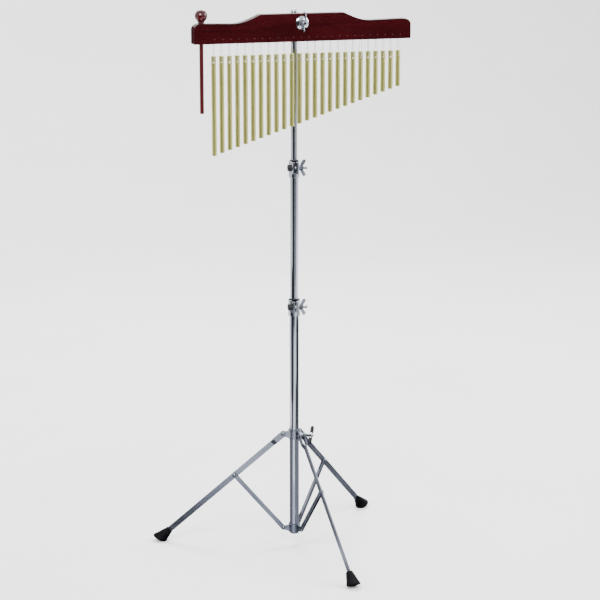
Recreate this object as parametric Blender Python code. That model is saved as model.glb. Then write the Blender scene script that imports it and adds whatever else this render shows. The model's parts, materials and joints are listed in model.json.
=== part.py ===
"""A set of bar chimes on a folding tripod stand, with its beater: one object for each piece.

Metres, +Z up. The board runs along X and its front faces -Y. The origin is on the floor, in the
middle of the object's footprint, and everything is first laid out round the pole's axis.
"""

import math

import bmesh
import bpy
from mathutils import Matrix, Vector

# ---- driving dimensions, heights above the floor -------------------------------------------
SIDES = 24  # facets round every tube and everything that fits one
TOP_TUBE_R, TOP_TUBE_BORE = 0.00635, 0.00535
MIDDLE_TUBE_R, MIDDLE_TUBE_BORE = 0.00795, 0.00675
BASE_TUBE_R, BASE_TUBE_BORE = 0.009525, 0.00835
SLIP = 0.0005  # radial gap of a ring round a tube
GAP = 0.0003  # gap between pieces that touch

POLE_TOP = 1.0965
TOP_TUBE_FOOT = 0.592
UPPER_CLAMP_Z = 0.786
MIDDLE_TUBE_FOOT = 0.282
LOWER_CLAMP_Z = 0.505
BASE_TUBE_FOOT = 0.0265

BOARD_LENGTH, BOARD_THICKNESS = 0.445, 0.020
BOARD_END_HEIGHT, BOARD_FOOT_HEIGHT, BOARD_MIDDLE_HEIGHT = 0.0392, 0.0377, 0.0540
BOARD_BOTTOM = 1.036
BOARD_RAMP = 0.056  # length of each hollow curve from the crest down to its foot
BOARD_CREST = 0.170  # length of the level stretch between them
CREST_SHIFT = -0.0031  # from the board's middle to the crest's
BOARD_CORNER = (0.015, 0.0115)
BOARD_SHIFT = 0.0051  # from the fixing bolt to the board's middle
BOARD_FORWARD = 0.036  # from the pole's axis to the board's mid-plane
BOLT_ABOVE_EDGE = 0.036
BLOCK_WIDTH, BLOCK_DEPTH, BLOCK_TOP, BLOCK_SHIFT = 0.041, 0.0145, 0.0512, 0.0044
SCREW_X, SCREW_R = 0.0145, 0.0015

BAR_COUNT, BAR_R, BAR_PITCH = 25, 0.00475, 0.01585
LONGEST_BAR, SHORTEST_BAR = 0.192, 0.071
BAR_ROW_SHIFT = 0.0094  # from the board's middle to the middle bar
BAR_DROP = 0.023  # from the board's lower edge to the bars' tops
BAR_HOLE_R, BAR_HOLE_DEPTH = 0.0014, 0.0125

BEATER_FROM_END = 0.0176
BEATER_ROD_R, BEATER_ROD_FOOT = 0.004, 0.903
BEATER_BALL_R = 0.012
BEATER_BALL_Z = 1.0895

LEG_AZIMUTHS = {"front": -86.5, "right": 37.4, "left": 155.4}
PLANE_SHIFT = 0.006  # each leg's plane passes this far beside the pole's axis
SOLE_SLOPE = 0.40  # the sole leans from square to the leg towards the floor
PIVOT_RADIUS = 0.022  # of the hub's and the collar's pivots, from the pole's axis
HUB_Z, COLLAR_Z = 0.2365, 0.0357
LEG_SPREAD = math.radians(48.2)  # from the vertical
LEG_LENGTH = 0.3465  # hub pivot to the middle of the sole
BRACE_FROM_HUB = 0.135  # hub pivot to brace pivot
BRACE_RUN = BRACE_FROM_HUB * math.sin(LEG_SPREAD)
BRACE_DROP = HUB_Z - COLLAR_Z - BRACE_FROM_HUB * math.cos(LEG_SPREAD)
BRACE_LENGTH = math.hypot(BRACE_RUN, BRACE_DROP)
LEG_DEPTH, LEG_HALF_WIDTH = 0.0114, 0.0014
FORK_LENGTH, FORK_NECK = 0.021, 0.030  # where the leg's forked top starts and ends narrowing
LUG_HALF, CHEEK = 0.0037, 0.0015  # the hub's lugs and the fork's cheeks round them
BRACE_DEPTH, BRACE_WALL = 0.0085, 0.0009
BRACE_HALF_WIDTH = LEG_HALF_WIDTH + 0.0004 + BRACE_WALL
BRACE_FORK = 0.024  # each end of the brace that is open on both sides
WING_BOLT_AZIMUTH, WING_BOLT_TURN, WING_BOLT_REACH = -40.0, -32.0, 0.0365
CLAMP_TURN = -12.0


# ---- shapes --------------------------------------------------------------------------------
def finished(mesh, bm):
    bmesh.ops.recalc_face_normals(bm, faces=bm.faces)
    bm.to_mesh(mesh)
    bm.free()
    mesh.shade_smooth()
    mesh.set_sharp_from_angle(angle=math.radians(35))
    return mesh


def turned(profile, sides=SIDES, closed=False):
    """The (radius, height) profile spun about Z; a closed profile makes a ring."""
    bm = bmesh.new()
    points = [bm.verts.new((radius, 0.0, height)) for radius, height in profile]
    edges = [bm.edges.new(pair) for pair in zip(points, points[1:])]
    if closed:
        edges.append(bm.edges.new((points[-1], points[0])))
    bmesh.ops.spin(
        bm, geom=points + edges, cent=(0, 0, 0), axis=(0, 0, 1), angle=math.tau, steps=sides
    )
    bmesh.ops.remove_doubles(bm, verts=bm.verts, dist=1e-6)
    return finished(bpy.data.meshes.new("turned"), bm)


def ring(outer, inner, low, high, sides=SIDES):
    return turned([(outer, high), (outer, low), (inner, low), (inner, high)], sides, closed=True)


def cylinder(radius, low, high, sides=SIDES):
    return turned([(0, high), (radius, high), (radius, low), (0, low)], sides)


def slab(outline, low, high):
    """The outline of (x, z) points, given thickness along Y from low to high."""
    bm = bmesh.new()
    face = bm.faces.new([bm.verts.new((x, low, z)) for x, z in outline])
    grown = bmesh.ops.extrude_face_region(bm, geom=[face])["geom"]
    corners = [item for item in grown if isinstance(item, bmesh.types.BMVert)]
    bmesh.ops.translate(bm, verts=corners, vec=(0, high - low, 0))
    return finished(bpy.data.meshes.new("slab"), bm)


def box(low, high):
    outline = [(low[0], low[2]), (high[0], low[2]), (high[0], high[2]), (low[0], high[2])]
    return slab(outline, low[1], high[1])


def arc(centre, radius, start, end, steps):
    """Points of an arc from start to end, in degrees."""
    return [
        (
            centre[0] + radius * math.cos(math.radians(start + (end - start) * i / steps)),
            centre[1] + radius * math.sin(math.radians(start + (end - start) * i / steps)),
        )
        for i in range(steps + 1)
    ]


def bar_outline(start, end, half, steps=8):
    """A strap along X with both ends rounded about start and end."""
    return arc((end, 0), half, -90, 90, steps) + arc((start, 0), half, 90, 270, steps)


def flat(mesh):
    """A slab drawn in X and Z, laid down so that its outline is in X and Y."""
    mesh.transform(turn("X", -90))
    return mesh


def combined(operation, mesh, *tools):
    """The mesh after one Boolean with each (tool mesh, place)."""
    for tool, place in tools:
        body = bpy.data.objects.new("body", mesh)
        other = bpy.data.objects.new("tool", tool)
        other.matrix_world = place
        for obj in (body, other):
            bpy.context.scene.collection.objects.link(obj)
        modifier = body.modifiers.new("Boolean", "BOOLEAN")
        modifier.operation = operation
        modifier.object = other
        graph = bpy.context.evaluated_depsgraph_get()
        result = bpy.data.meshes.new_from_object(body.evaluated_get(graph))
        for obj in (body, other):
            bpy.data.objects.remove(obj)
        mesh = result
    mesh.materials.clear()
    mesh.shade_smooth()
    mesh.set_sharp_from_angle(angle=math.radians(35))
    return mesh


def union(mesh, *tools):
    return combined("UNION", mesh, *tools)


def cut(mesh, *tools):
    return combined("DIFFERENCE", mesh, *tools)


def turn(axis, degrees):
    return Matrix.Rotation(math.radians(degrees), 4, axis)


def shift(x=0.0, y=0.0, z=0.0):
    return Matrix.Translation((x, y, z))


ALONG_X = turn("Y", 90)  # takes +Z to +X
ALONG_FRONT = turn("X", 90)  # takes +Z to -Y
ALONG_BACK = turn("X", -90)  # takes +Z to +Y


# ---- scene ---------------------------------------------------------------------------------
def clear_scene():
    for obj in list(bpy.data.objects):
        bpy.data.objects.remove(obj)


def material(name, colour, roughness, metallic):
    made = bpy.data.materials.new(name)
    made.use_nodes = True
    shader = made.node_tree.nodes["Principled BSDF"]
    shader.inputs["Base Color"].default_value = (*colour, 1)
    shader.inputs["Roughness"].default_value = roughness
    shader.inputs["Metallic"].default_value = metallic
    made.diffuse_color = (*colour, 1)
    return made


def pivot(name, parent=None, place=Matrix()):
    """An empty that a body's pieces hang on, at the body's joint."""
    empty = bpy.data.objects.new(name, None)
    empty.empty_display_size = 0.02
    return placed(empty, parent, place)


def piece(name, mesh, look, parent, place=Matrix()):
    """One named object of the assembly, with a material of its own."""
    obj = bpy.data.objects.new(name, mesh)
    if not mesh.materials:
        mesh.materials.append(None)
    placed(obj, parent, place)
    obj.material_slots[0].link = "OBJECT"
    obj.material_slots[0].material = material(name, *look)
    return obj


def placed(obj, parent, place):
    bpy.context.scene.collection.objects.link(obj)
    obj.parent = parent
    obj.matrix_basis = place
    return obj


CHROME = ((0.80, 0.81, 0.83), 0.10, 1.0)
ZINC = ((0.62, 0.63, 0.65), 0.28, 1.0)
RUBBER = ((0.015, 0.015, 0.017), 0.6, 0.0)
BLACK_PLASTIC = ((0.02, 0.02, 0.022), 0.4, 0.0)
LACQUER = ((0.075, 0.006, 0.009), 0.18, 0.0)
RED_LACQUER = ((0.13, 0.008, 0.013), 0.15, 0.0)
GOLD = ((0.78, 0.72, 0.50), 0.25, 1.0)


# ---- board ---------------------------------------------------------------------------------
def board_top(x):
    """Height of the top edge above the lower edge, x from the board's middle."""
    past_crest = abs(x - CREST_SHIFT) - BOARD_CREST / 2
    if past_crest < BOARD_RAMP:
        fall = math.sin(math.pi / 2 * max(past_crest, 0.0) / BOARD_RAMP)
        return BOARD_MIDDLE_HEIGHT - (BOARD_MIDDLE_HEIGHT - BOARD_FOOT_HEIGHT) * fall
    run = BOARD_LENGTH / 2 - BOARD_CREST / 2 - BOARD_RAMP
    rise = math.sin(math.pi / 2 * min((past_crest - BOARD_RAMP) / run, 1.0))
    return BOARD_FOOT_HEIGHT + (BOARD_END_HEIGHT - BOARD_FOOT_HEIGHT) * rise


def board_corner(side, steps):
    """The rounded upper corner, from the top edge round to the end; side is 1 or -1."""
    wide, high = BOARD_CORNER
    middle = BOARD_LENGTH / 2 - wide
    points = arc((0, 0), 1.0, 90, 0, steps)
    return [(side * (middle + wide * x), BOARD_END_HEIGHT - high * (1 - z)) for x, z in points]


def board_outline():
    half, low = BOARD_LENGTH / 2, 0.0015
    left, right = CREST_SHIFT - BOARD_CREST / 2, CREST_SHIFT + BOARD_CREST / 2
    top = [right + BOARD_RAMP * (10 - i) / 10 for i in range(11)]
    top += [left - BOARD_RAMP * i / 10 for i in range(11)]
    upper = board_corner(1, 6)[::-1] + [(x, board_top(x)) for x in top] + board_corner(-1, 6)
    return [(half - low, 0.0), (half, low)] + upper + [(-half, low), (low - half, 0.0)]


def board_mesh():
    """The board, x from its middle and z from its lower edge, with its two holes."""
    mesh = slab(board_outline(), -BOARD_THICKNESS / 2, BOARD_THICKNESS / 2)
    beater_hole = cylinder(BEATER_ROD_R + 0.00075, -0.01, 0.07, 16)
    bolt_hole = cylinder(0.0035, -0.03, 0.03, 16)
    return cut(
        mesh,
        (beater_hole, shift(x=BEATER_FROM_END - BOARD_LENGTH / 2)),
        (bolt_hole, shift(x=-BOARD_SHIFT, z=BOLT_ABOVE_EDGE) @ ALONG_FRONT),
    )


def block_mesh():
    """The wood block behind the board, from the board's back face towards the pole."""
    low, high = BLOCK_SHIFT - BLOCK_WIDTH / 2, BLOCK_SHIFT + BLOCK_WIDTH / 2
    mesh = box((low, 0, 0.0025), (high, BLOCK_DEPTH, BLOCK_TOP))
    bolt_hole = cylinder(0.0035, -0.01, 0.03, 16)
    screw_hole = cylinder(SCREW_R + 0.0004, -0.0155, 0.01, 12)
    screw_place = shift(SCREW_X - BOARD_SHIFT, BLOCK_DEPTH / 2, BLOCK_TOP)
    return cut(
        mesh,
        (bolt_hole, shift(x=-BOARD_SHIFT, z=BOLT_ABOVE_EDGE) @ ALONG_BACK),
        (screw_hole, screw_place),
    )


def block_screw_mesh():
    """A round-headed screw standing proud of the block, whose top is at z = 0."""
    profile = [
        (0, 0.0060), (0.0016, 0.0057), (0.0027, 0.0046), (0.0030, 0.0030), (0.0030, 0.0026),
        (SCREW_R, 0.0026), (SCREW_R, -0.0145), (0, -0.0150),
    ]
    return turned(profile, 12)


def eye_bolt_mesh():
    """A ring round the pole with a threaded shank forward, centred on the pole."""
    eye = ring(0.0104, TOP_TUBE_R + SLIP, -0.0045, 0.0045)
    shank = cylinder(0.003, 0.009, 0.0635, 16)
    return union(eye, (shank, ALONG_FRONT))


def cup_washer_mesh():
    """A dished washer, its flat back at z = 0."""
    profile = [
        (0.0035, 0.0), (0.0115, 0.0), (0.0131, 0.0006), (0.0131, 0.0018), (0.0113, 0.0032),
        (0.0075, 0.0045), (0.0060, 0.0045), (0.0035, 0.0030),
    ]
    return turned(profile, closed=True)


def wing_nut_mesh():
    """A wing nut on +Z, its seat at z = 0 and its wings along +X and -X."""
    hub = turned([(0, 0.0085), (0.0042, 0.0085), (0.0057, 0.0015), (0.0055, 0), (0, 0)], 16)
    tip = arc((0.0132, 0.0100), 0.0038, -50, 130, 7)
    right = [(0.003, 0.0012)] + tip + [(0.0030, 0.0078)]
    left = [(-x, z) for x, z in reversed(right)]
    wing_half = 0.0014
    nut = union(
        hub,
        (slab(right, -wing_half, wing_half), Matrix()),
        (slab(left, -wing_half, wing_half), Matrix()),
    )
    return cut(nut, (cylinder(0.0034, -0.01, 0.02, 16), Matrix()))


def build_board(top):
    """The board, its fixing round the pole, and the bars that hang from it."""
    board = pivot("board_swivel", top)
    middle = shift(BOARD_SHIFT, -BOARD_FORWARD, BOARD_BOTTOM)
    bolt_z = BOARD_BOTTOM + BOLT_ABOVE_EDGE
    front = BOARD_FORWARD + BOARD_THICKNESS / 2
    piece("mantle", board_mesh(), LACQUER, board, middle)
    block_place = middle @ shift(y=BOARD_THICKNESS / 2 + GAP)
    piece("mantle_back_block", block_mesh(), LACQUER, board, block_place)
    screw_place = block_place @ shift(SCREW_X - BOARD_SHIFT, BLOCK_DEPTH / 2, BLOCK_TOP)
    piece("mantle_block_screw", block_screw_mesh(), ZINC, board, screw_place)
    piece("mantle_eye_bolt", eye_bolt_mesh(), CHROME, board, shift(z=bolt_z))
    washer_place = shift(y=-front - GAP, z=bolt_z) @ ALONG_FRONT
    piece("mantle_washer", cup_washer_mesh(), CHROME, board, washer_place)
    nut = pivot("mantle_wing_turn", board, washer_place @ shift(z=0.0045 + GAP) @ turn("Z", 82))
    piece("mantle_wing_nut", wing_nut_mesh(), CHROME, nut)
    build_bars(board)
    build_beater(board)


def bar_mesh(length):
    """One bar hanging from z = 0 on its loop, with the cross hole for it."""
    top = -BAR_DROP
    hole = cylinder(BAR_HOLE_R, -0.01, 0.01, 8)
    bar = cylinder(BAR_R, top - length, top, 12)
    return cut(bar, (hole, shift(z=top - BAR_HOLE_DEPTH) @ ALONG_BACK))


def build_bars(board):
    step = (LONGEST_BAR - SHORTEST_BAR) / (BAR_COUNT - 1)
    for i in range(BAR_COUNT):
        x = BOARD_SHIFT + BAR_ROW_SHIFT + (i - (BAR_COUNT - 1) / 2) * BAR_PITCH
        swing = pivot(f"swing_{i + 1:02d}", board, shift(x, -BOARD_FORWARD, BOARD_BOTTOM))
        piece(f"chime_{i + 1:02d}", bar_mesh(LONGEST_BAR - i * step), GOLD, swing)


def build_beater(board):
    """The rod drops through the board, and the ball's neck rests on its top edge."""
    x = BOARD_SHIFT - BOARD_LENGTH / 2 + BEATER_FROM_END
    beater = pivot("beater_lift", board, shift(x, -BOARD_FORWARD, BEATER_BALL_Z))
    neck_low = BOARD_BOTTOM + BOARD_END_HEIGHT + GAP - BEATER_BALL_Z
    ball = [(BEATER_BALL_R * math.sin(math.radians(a)), BEATER_BALL_R * math.cos(math.radians(a)))
            for a in range(0, 146, 18)]
    ball += [(0.0062, neck_low + 0.0025), (0.0062, neck_low), (BEATER_ROD_R + GAP, neck_low),
             (BEATER_ROD_R + GAP, -0.004), (0, -0.004)]
    rod_top, rod_foot = -0.0045, BEATER_ROD_FOOT - BEATER_BALL_Z
    rod = [(0, rod_top), (BEATER_ROD_R, rod_top), (BEATER_ROD_R, rod_foot + 0.001),
           (BEATER_ROD_R - 0.001, rod_foot), (0, rod_foot)]
    piece("beater_ball", turned(ball, 16), RED_LACQUER, beater)
    piece("beater_rod", turned(rod, 12), RED_LACQUER, beater)


# ---- tubes and clamps ----------------------------------------------------------------------
def clamp_mesh(tube_r, bolt_forward):
    """A split band round a tube, with two ears in front, a bolt hole and a sleeve below."""
    bore = tube_r + SLIP
    outer = bore + 0.0024
    slot, ear = 0.0022, 0.0070
    ear_end = bolt_forward + 0.0068
    around = math.degrees(math.asin(ear / outer))
    inside = math.degrees(math.asin(slot / bore))
    outline = [(ear, -ear_end + 0.002)]
    outline += arc((0, 0), outer, -90 + around, 270 - around, SIDES)
    outline += [(-ear, -ear_end + 0.002), (-ear + 0.002, -ear_end), (-slot, -ear_end)]
    outline += arc((0, 0), bore, 270 - inside, -90 + inside, SIDES)
    outline += [(slot, -ear_end), (ear - 0.002, -ear_end)]
    band = flat(slab(outline, -0.0115, 0.0115))
    hole = cylinder(0.0034, -0.02, 0.02, 12)
    band = cut(band, (hole, shift(y=-bolt_forward) @ ALONG_X))
    return union(band, (ring(outer, bore, -0.021, -0.0105), Matrix()))


def clamp_bolt_mesh():
    """A hex-headed bolt along +X, its head to the left of the ears."""
    shank = cylinder(0.003, -0.0090, 0.0290, 12)
    head = turned([(0, -0.0073), (0.0058, -0.0073), (0.0058, -0.0120), (0, -0.0120)], 6)
    return union(head, (shank, Matrix()))


def bush_mesh(tube_r, tube_bore_r, above):
    """A flanged plastic bush round the sliding tube, on top of the tube that the clamp is on."""
    bore = tube_bore_r + SLIP - 0.00005
    return turned(
        [(bore, 0), (tube_r, 0), (tube_r, above), (tube_r + 0.0022, above),
         (tube_r + 0.0022, above + 0.0018), (bore, above + 0.0018)],
        closed=True,
    )


def build_clamp(name, parent, clamp_z, tube_r, inner_r, bolt_forward):
    """A clamp with its bush, bolt and wing nut, on the end of one tube."""
    frame = shift(z=clamp_z) @ turn("Z", CLAMP_TURN)
    piece(f"{name}_clamp", clamp_mesh(tube_r, bolt_forward), CHROME, parent, frame)
    bush_place = shift(z=clamp_z - 0.001 + GAP)
    above = 0.0125 + 2 * GAP
    piece(f"{name}_clamp_bush", bush_mesh(tube_r, inner_r, above), BLACK_PLASTIC, parent, bush_place)
    bolt_place = frame @ shift(y=-bolt_forward) @ ALONG_X
    piece(f"{name}_clamp_bolt", clamp_bolt_mesh(), ZINC, parent, bolt_place)
    nut = pivot(f"{name}_wing_turn", parent, bolt_place @ shift(z=0.0073) @ turn("Z", 4))
    piece(f"{name}_clamp_wing_nut", wing_nut_mesh(), CHROME, nut)


def build_tubes(root):
    """The three telescopic tubes; returns the body that carries the board."""
    base_top = LOWER_CLAMP_Z - 0.001
    middle_top = UPPER_CLAMP_Z - 0.001
    top_end = POLE_TOP - 0.0075
    base = ring(BASE_TUBE_R, BASE_TUBE_BORE, BASE_TUBE_FOOT, base_top)
    piece("base_tube", base, CHROME, root)
    build_clamp("lower", root, LOWER_CLAMP_Z, BASE_TUBE_R, MIDDLE_TUBE_R, 0.0180)
    middle = pivot("middle_slide", root)
    middle_mesh = ring(MIDDLE_TUBE_R, MIDDLE_TUBE_BORE, MIDDLE_TUBE_FOOT, middle_top)
    piece("middle_tube", middle_mesh, CHROME, middle)
    build_clamp("upper", middle, UPPER_CLAMP_Z, MIDDLE_TUBE_R, TOP_TUBE_R, 0.0164)
    top = pivot("top_slide", middle)
    piece("top_tube", ring(TOP_TUBE_R, TOP_TUBE_BORE, TOP_TUBE_FOOT, top_end), CHROME, top)
    plug_r = TOP_TUBE_BORE - 0.00035
    cap = [(0, POLE_TOP), (0.0030, POLE_TOP - 0.0006), (0.0053, POLE_TOP - 0.0026),
           (TOP_TUBE_R, POLE_TOP - 0.0055), (TOP_TUBE_R, top_end + GAP), (plug_r, top_end + GAP),
           (plug_r, top_end - 0.010), (0, top_end - 0.010)]
    piece("top_tube_cap", turned(cap), CHROME, top)
    plug = [(0, BASE_TUBE_FOOT + 0.010), (BASE_TUBE_BORE - 0.00035, BASE_TUBE_FOOT + 0.010),
            (BASE_TUBE_BORE - 0.00035, BASE_TUBE_FOOT - GAP), (BASE_TUBE_R, BASE_TUBE_FOOT - GAP),
            (BASE_TUBE_R - 0.001, BASE_TUBE_FOOT - 0.003), (0, BASE_TUBE_FOOT - 0.003)]
    piece("base_end_cap", turned(plug), BLACK_PLASTIC, root)
    return top


# ---- tripod --------------------------------------------------------------------------------
def hub_mesh():
    """A sleeve round the base tube with a lug and rivet for each leg and a boss for the bolt."""
    half_height = 0.0098
    sleeve = ring(0.0122, BASE_TUBE_R + SLIP, -half_height, half_height)
    rivet_half, head = LUG_HALF + CHEEK + 2 * GAP, 0.0016
    end = PIVOT_RADIUS
    lug = slab([(0.004, -0.0090), (0.0170, -0.0062)] + arc((end, 0), 0.0050, -60, 90, 6)
               + [(0.004, 0.0080)], -LUG_HALF, LUG_HALF)
    pin = turned([(0, rivet_half + head), (0.0022, rivet_half + head), (0.0038, rivet_half + 0.0005),
                  (0.0038, rivet_half), (0.0022, rivet_half), (0.0022, -rivet_half),
                  (0.0038, -rivet_half), (0.0038, -rivet_half - 0.0005),
                  (0.0022, -rivet_half - head), (0, -rivet_half - head)], 10)
    tools = []
    for azimuth in LEG_AZIMUTHS.values():
        beside = turn("Z", azimuth) @ shift(y=PLANE_SHIFT)
        tools.append((lug, beside))
        tools.append((pin, beside @ shift(x=end) @ ALONG_BACK))
    at_bolt = turn("Z", WING_BOLT_AZIMUTH) @ ALONG_X
    tools.append((cylinder(0.0048, 0.008, 0.0168, 12), at_bolt))
    bore = cylinder(BASE_TUBE_R + SLIP, -0.02, 0.02)
    return cut(
        union(sleeve, *tools),
        (bore, Matrix()),
        (cylinder(0.0034, 0.005, 0.03, 10), at_bolt),
    )


def collar_mesh():
    """A sleeve on the base tube's foot with a lug that each brace's lower end straddles."""
    half_height = 0.0088
    sleeve = ring(0.0122, BASE_TUBE_R + SLIP, -half_height, half_height)
    outline = [(0.004, -0.0076), (0.0170, -0.0052)] + arc((PIVOT_RADIUS, 0), 0.0044, -60, 60, 5)
    outline += [(0.0170, 0.0056), (0.004, 0.0080)]
    lug = slab(outline, -LEG_HALF_WIDTH, LEG_HALF_WIDTH)
    tools = [(lug, turn("Z", azimuth) @ shift(y=PLANE_SHIFT)) for azimuth in LEG_AZIMUTHS.values()]
    bore = cylinder(BASE_TUBE_R + SLIP, -0.02, 0.02)
    return cut(union(sleeve, *tools), (bore, Matrix()))


def leg_mesh():
    """A flat bar along +X from the hub pivot, its top end split into a fork round the lug."""
    half, deep = LEG_HALF_WIDTH, LEG_DEPTH / 2
    tip = LEG_LENGTH - 0.012
    inner = LUG_HALF + GAP
    outer = inner + CHEEK
    upper = [(-0.01, inner), (FORK_LENGTH, inner), (FORK_NECK - 0.0015, 0.0)]
    lower = [(x, -y) for x, y in reversed(upper[:-1])]
    rim = [(-0.01, -outer), (FORK_LENGTH, -outer), (FORK_NECK, -half), (tip, -half)]
    rim += [(x, -y) for x, y in reversed(rim)]
    plan = flat(slab(upper + lower + rim, -0.01, 0.01))
    side = slab([(tip + 0.01, -deep), (tip + 0.01, deep)] + arc((0, 0), deep, 90, 270, 8), -0.01, 0.01)
    mesh = combined("INTERSECT", plan, (side, Matrix()))
    mesh = cut(mesh, (cylinder(0.0026, -0.01, 0.01, 10), ALONG_BACK))
    reach, head = BRACE_HALF_WIDTH + GAP, 0.0022
    pin = turned([(0, reach + head), (0.0024, reach + head), (0.0040, reach + 0.0008),
                  (0.0040, reach), (0.0020, reach), (0.0020, -reach),
                  (0.0040, -reach), (0.0040, -reach - 0.0008),
                  (0.0024, -reach - head), (0, -reach - head)], 10)
    return union(mesh, (pin, shift(x=BRACE_FROM_HUB) @ ALONG_BACK))


def brace_mesh():
    """A channel along +X from its pivot on the leg, open at both ends round leg and lug."""
    half = BRACE_DEPTH / 2
    inner = BRACE_HALF_WIDTH - BRACE_WALL
    body = slab(bar_outline(0, BRACE_LENGTH, half), -BRACE_HALF_WIDTH, BRACE_HALF_WIDTH)
    leg_end = box((-0.02, -inner, -0.02), (BRACE_FORK, inner, 0.02))
    collar_end = box((BRACE_LENGTH - BRACE_FORK, -inner, -0.02), (BRACE_LENGTH + 0.02, inner, 0.02))
    trough = box((0, -inner, -half + BRACE_WALL), (BRACE_LENGTH, inner, 0.02))
    mesh = cut(
        body,
        (leg_end, Matrix()),
        (collar_end, Matrix()),
        (trough, Matrix()),
        (cylinder(0.0025, -0.01, 0.01, 10), ALONG_BACK),
    )
    head = turned([(0, 0.0018), (0.0022, 0.0018), (0.0034, 0.0006), (0.0034, -0.0004), (0, -0.0004)], 10)
    heads = [
        (head, shift(x=BRACE_LENGTH, y=BRACE_HALF_WIDTH) @ ALONG_BACK),
        (head, shift(x=BRACE_LENGTH, y=-BRACE_HALF_WIDTH) @ ALONG_FRONT),
    ]
    return union(mesh, *heads)


def foot_mesh(floor):
    """A rubber cone round the leg's end, flared to a domed sole and flattened where it stands."""
    start, end = LEG_LENGTH - 0.0295, LEG_LENGTH
    profile = [(0, start), (0.0064, start), (0.0072, start + 0.0012), (0.0086, start + 0.010),
               (0.0108, start + 0.020), (0.0136, end - 0.0030), (0.0140, end - 0.0012),
               (0.0132, end), (0.0070, end + 0.0016), (0, end + 0.0022)]
    cone = turned(profile, 20)
    cone.transform(ALONG_X)
    for vert in cone.vertices:
        share = min(max((vert.co.x - start) / (end - start), 0.0), 1.0)
        vert.co.x += SOLE_SLOPE * share * vert.co.z
    room = 0.00035
    half, wide = LEG_DEPTH / 2 + room, LEG_HALF_WIDTH + room
    socket = box((start - 0.01, -wide, -half), (LEG_LENGTH - 0.012 + room, wide, half))
    ground = box((0, -0.1, -0.1), (1, 0.1, 0))
    return cut(cone, (socket, Matrix()), (ground, floor))


def build_tripod(root):
    """The fold: the hub slides up the base tube, and legs and braces swing in."""
    hub = pivot("hub_slide", root, shift(z=HUB_Z))
    piece("leg_hub", hub_mesh(), ZINC, hub)
    piece("base_collar", collar_mesh(), ZINC, root, shift(z=COLLAR_Z))
    build_wing_bolt(hub)
    spread = math.degrees(LEG_SPREAD)
    slope = math.degrees(math.atan2(BRACE_RUN, BRACE_DROP))
    out = shift(x=PIVOT_RADIUS, y=PLANE_SHIFT) @ turn("Y", 90 - spread)
    floor = (shift(z=HUB_Z) @ out).inverted()
    legs, braces, feet = leg_mesh(), brace_mesh(), foot_mesh(floor)
    for side, azimuth in LEG_AZIMUTHS.items():
        leg = pivot(f"leg_{side}_hinge", hub, turn("Z", azimuth) @ out)
        piece(f"leg_{side}", legs, ZINC, leg)
        piece(f"foot_{side}", feet, RUBBER, leg)
        to_brace = shift(x=BRACE_FROM_HUB) @ turn("Y", spread + slope)
        brace = pivot(f"brace_{side}_hinge", leg, to_brace)
        piece(f"brace_{side}", braces, ZINC, brace)


def wing_bolt_mesh():
    """A bolt along +Z with a T handle along X."""
    shank = cylinder(0.003, BASE_TUBE_R + SLIP, WING_BOLT_REACH - 0.004, 12)
    knob = turned([(0, 0.0050), (0.0030, 0.0045), (0.0046, 0.0020), (0.0048, -0.0020),
                   (0.0040, -0.0050), (0.0040, -0.0085), (0, -0.0085)], 12)
    handle = cylinder(0.0025, -0.011, 0.011, 12)
    at = shift(z=WING_BOLT_REACH)
    return union(shank, (knob, at), (handle, at @ ALONG_X))


def wing_tip_mesh():
    """A round-nosed cap that slips over one end of the handle, its mouth at z = 0."""
    return turned([(0.0028, 0), (0.0034, 0), (0.0037, 0.0010), (0.0034, 0.0115), (0.0026, 0.0133),
                   (0.0013, 0.0140), (0, 0.0142), (0, 0.0060), (0.0028, 0.0060)], 12, closed=True)


def build_wing_bolt(hub):
    """The T bolt in the hub's boss that locks the fold, handle almost upright."""
    along = turn("Z", WING_BOLT_AZIMUTH) @ ALONG_X
    handle = pivot("hub_wing_turn", hub, along @ turn("Z", WING_BOLT_TURN))
    piece("hub_wing_bolt", wing_bolt_mesh(), CHROME, handle)
    for name, side in (("upper", -90), ("lower", 90)):
        tip_place = shift(z=WING_BOLT_REACH) @ turn("Y", side) @ shift(z=0.0053)
        piece(f"hub_wing_tip_{name}", wing_tip_mesh(), BLACK_PLASTIC, handle, tip_place)


# ---- assembly ------------------------------------------------------------------------------
def centre_on_floor(root):
    """Moves everything so that the origin is in the middle of the footprint."""
    bpy.context.view_layer.update()
    corners = [
        obj.matrix_world @ Vector(corner)
        for obj in bpy.data.objects
        if obj.type == "MESH"
        for corner in obj.bound_box
    ]
    for axis in (0, 1):
        values = [corner[axis] for corner in corners]
        root.location[axis] = -(min(values) + max(values)) / 2


def main():
    clear_scene()
    stand = pivot("stand")
    top = build_tubes(stand)
    build_board(top)
    build_tripod(stand)
    centre_on_floor(stand)


main()
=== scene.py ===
"""The looks of a set of bar chimes on a folding tripod stand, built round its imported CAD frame.

Metres, +Z up, the board facing -Y. Each piece is drawn in a frame of its own, worked out from the
CAD model's boxes and joints, and rides on the body of the node that it stands for.
"""

import json
import math

import bmesh
import bpy
from mathutils import Matrix, Vector


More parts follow.
